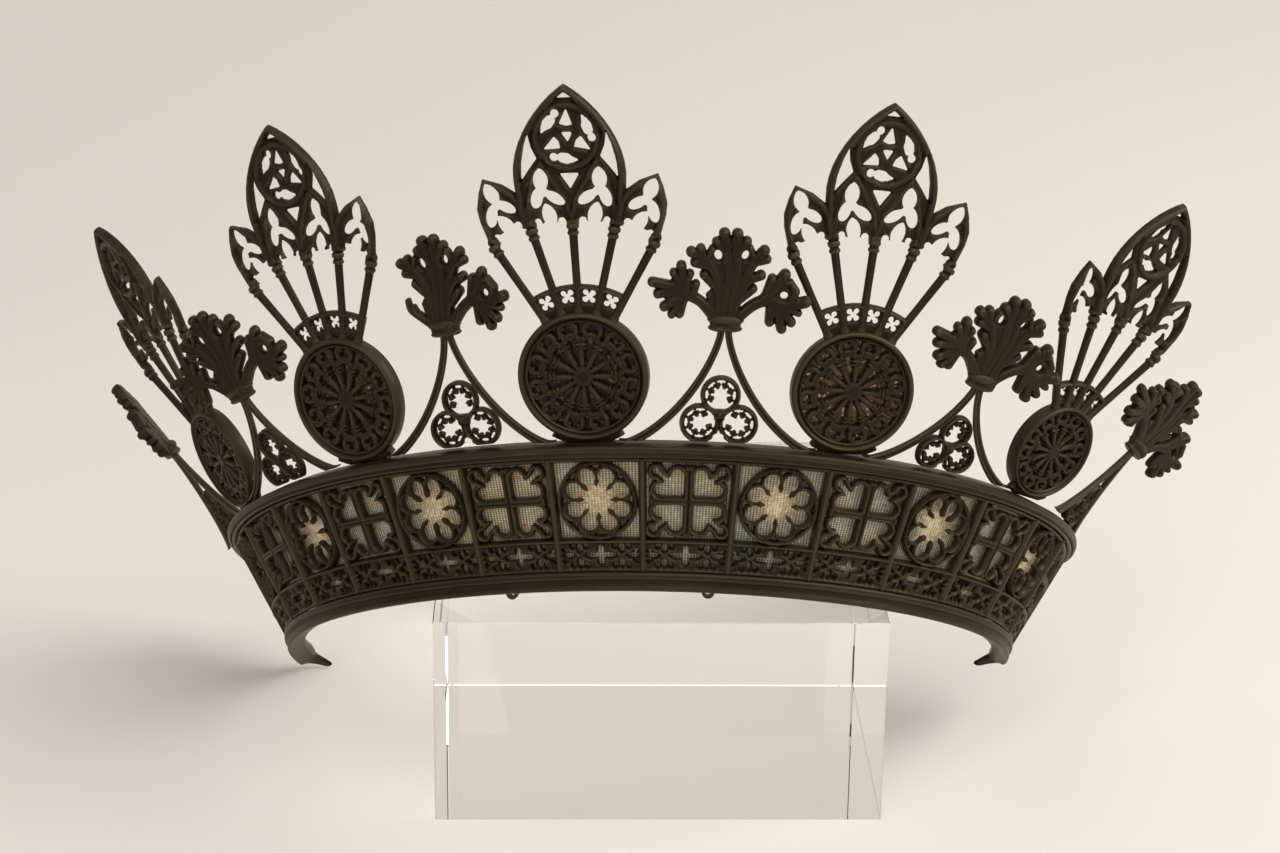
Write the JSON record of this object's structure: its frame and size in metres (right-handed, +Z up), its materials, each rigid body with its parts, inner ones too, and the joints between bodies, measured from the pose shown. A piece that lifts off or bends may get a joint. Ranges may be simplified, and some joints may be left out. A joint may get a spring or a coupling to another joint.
{
  "type": "iron tiara on a clear block stand",
  "caption": "Pierced Gothic tiara of cast iron with tall windows, leaf finials and a gold cloth lining, tilted back on a clear block that holds its front up.",
  "frame": {"origin": "on the floor under the middle of the whole, block and tiara together", "axes": "+Z up, the front of the block and the tiara's front face -Y, +X to the right as seen from the front"},
  "size_m": [0.228, 0.102, 0.1449],
  "materials": {
    "iron": "near-black lacquered casting with a soft sheen, brown on the raised edges",
    "gold_cloth": "woven metal thread, silver and gold, worn",
    "acrylic": "clear and polished, with fine scratches"
  },
  "bodies": {
    "root": {"arch_end_left": "iron", "arch_end_right": "iron", "arch_inner_left": "iron", "arch_inner_right": "iron", "arch_outer_left": "iron", "arch_outer_right": "iron", "bottom_rail": "iron", "leaf_end_left": "iron", "leaf_end_right": "iron", "leaf_inner_left": "iron", "leaf_inner_right": "iron", "leaf_outer_left": "iron", "leaf_outer_right": "iron", "lining": "gold_cloth", "loop_left": "iron", "loop_right": "iron", "medallion_centre": "iron", "medallion_far_left": "iron", "medallion_far_right": "iron", "medallion_left": "iron", "medallion_right": "iron", "panel_01": "iron", "panel_02": "iron", "panel_03": "iron", "panel_04": "iron", "panel_05": "iron", "panel_06": "iron", "panel_07": "iron", "panel_08": "iron", "panel_09": "iron", "panel_10": "iron", "panel_11": "iron", "panel_12": "iron", "panel_13": "iron", "panel_14": "iron", "panel_15": "iron", "stand_block": "acrylic", "top_rail": "iron", "trefoil_end_left": "iron", "trefoil_end_right": "iron", "trefoil_inner_left": "iron", "trefoil_inner_right": "iron", "trefoil_outer_left": "iron", "trefoil_outer_right": "iron", "window_centre": "iron", "window_far_left": "iron", "window_far_right": "iron", "window_left": "iron", "window_right": "iron"}
  },
  "joints": []
}
